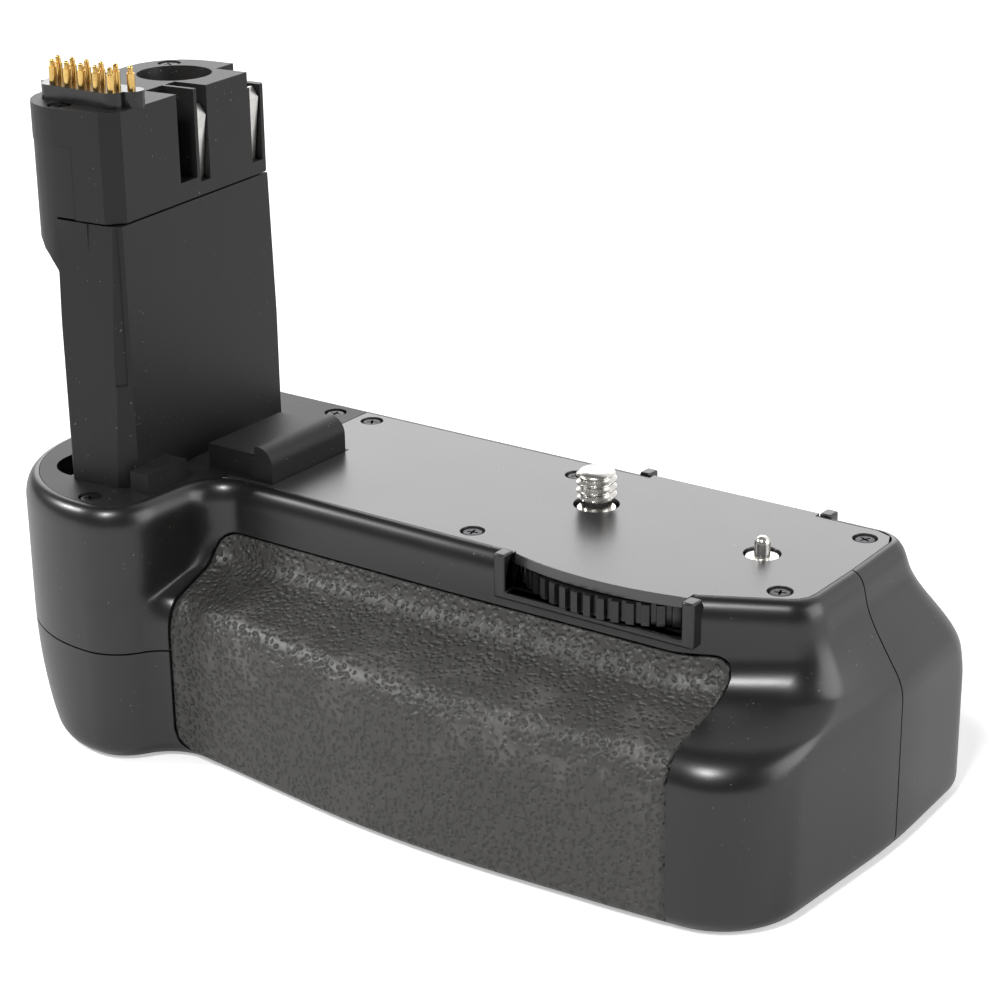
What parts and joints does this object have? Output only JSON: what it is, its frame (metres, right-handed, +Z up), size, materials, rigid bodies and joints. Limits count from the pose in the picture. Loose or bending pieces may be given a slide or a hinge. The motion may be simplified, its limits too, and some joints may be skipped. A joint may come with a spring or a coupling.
{
  "type": "camera battery grip",
  "caption": "Vertical battery grip for a camera: moulded housing with a grained rubber front, upright battery tower with spring contact pins, and a thumb wheel driving the attachment screw.",
  "frame": {"origin": "middle of the resting face, under the centre of the overall box", "axes": "+X along the grip away from the tower, +Y to the rear door, +Z up through the mating plate"},
  "size_m": [0.1447, 0.072, 0.1082],
  "materials": {
    "housing": "satin black moulded plastic",
    "rubber": "grained dark grey rubber",
    "plate": "smooth satin black",
    "tower": "matte charcoal",
    "controls": "smooth black",
    "inner_plastic": "plain black",
    "black_screws": "blackened",
    "bright_metal": "nickel plated",
    "contact_nickel": "plated spring sheet",
    "contact_gold": "gold plated",
    "brass_work": "machined",
    "inner_steel": "plain",
    "flat_cable": "amber film",
    "board": "green laminate"
  },
  "bodies": {
    "grip_body": {"front_shell": "housing", "rear_shell": "housing", "shutter_housing": "housing", "front_rubber": "rubber", "thumb_rubber": "rubber", "top_plate": "plate", "plate_screws": "black_screws", "base_screws": "black_screws", "tower_base": "tower", "tower_column": "tower", "tower_head": "tower", "head_screws": "black_screws", "connector_block": "controls", "pin_barrels": "contact_gold", "battery_blades": "contact_nickel", "tower_cable": "flat_cable", "circuit_board": "board", "wheel_hub": "inner_plastic", "screw_bush": "brass_work", "locating_pin": "bright_metal", "drive_bracket": "inner_steel", "battery_chamber": "inner_plastic", "bay_contacts": "contact_nickel", "chamber_screws": "black_screws", "tripod_socket": "bright_metal", "hinge_pin": "inner_steel", "shutter_switch": "inner_plastic", "dial_axle": "inner_steel", "dial_bracket": "inner_steel", "button_board": "board"},
    "thumb_wheel": {"thumb_wheel": "controls"},
    "attachment_screw": {"attachment_screw": "bright_metal", "screw_pinion": "brass_work", "screw_clip": "inner_steel"},
    "pin_plungers": {"pin_plungers": "contact_gold"},
    "battery_door": {"battery_door": "housing", "door_keeper": "housing"},
    "door_latch": {"door_latch": "controls"},
    "shutter_button": {"shutter_button": "controls"},
    "main_dial": {"main_dial": "controls"},
    "lock_button": {"lock_button": "controls"},
    "point_button": {"point_button": "controls"},
    "power_switch": {"power_switch": "controls"}
  },
  "joints": [
    {"name": "wheel_spin", "type": "hinge", "parent": "grip_body", "child": "thumb_wheel", "pos_m": [0.03408, 0.00615, 0.0394], "axis": [0, 0, 1], "continuous": true},
    {"name": "screw_spin", "type": "hinge", "parent": "grip_body", "child": "attachment_screw", "pos_m": [0.0185, 0.0098, 0.04], "axis": [0, 0, 1], "continuous": true},
    {"name": "pin_press", "type": "slide", "parent": "grip_body", "child": "pin_plungers", "axis": [0, 0, -1], "range_m": [0, 0.001], "stiffness_N_per_m": 400},
    {"name": "door_swing", "type": "hinge", "parent": "grip_body", "child": "battery_door", "pos_m": [0.012, 0.0334, 0.0046], "axis": [-1, 0, 0], "range_deg": [0, 90]},
    {"name": "latch_slide", "type": "slide", "parent": "grip_body", "child": "door_latch", "axis": [1, 0, 0], "range_m": [0, 0.003]},
    {"name": "shutter_press", "type": "slide", "parent": "grip_body", "child": "shutter_button", "axis": [0.8466, 0, 0.5323], "range_m": [0, 0.001], "stiffness_N_per_m": 600},
    {"name": "dial_spin", "type": "hinge", "parent": "grip_body", "child": "main_dial", "pos_m": [-0.06315, -0.003, 0.013], "axis": [0, 1, 0], "continuous": true},
    {"name": "lock_press", "type": "slide", "parent": "grip_body", "child": "lock_button", "axis": [0, -1, 0], "range_m": [0, 0.0008], "stiffness_N_per_m": 600},
    {"name": "point_press", "type": "slide", "parent": "grip_body", "child": "point_button", "axis": [0, -1, 0], "range_m": [0, 0.0008], "stiffness_N_per_m": 600},
    {"name": "power_turn", "type": "hinge", "parent": "grip_body", "child": "power_switch", "pos_m": [-0.05015, 0.0353, 0.0068], "axis": [0, 1, 0], "range_deg": [0, 40]}
  ],
  "couplings": [
    {"joint": "screw_spin", "follows": "wheel_spin", "ratio": 5}
  ]
}
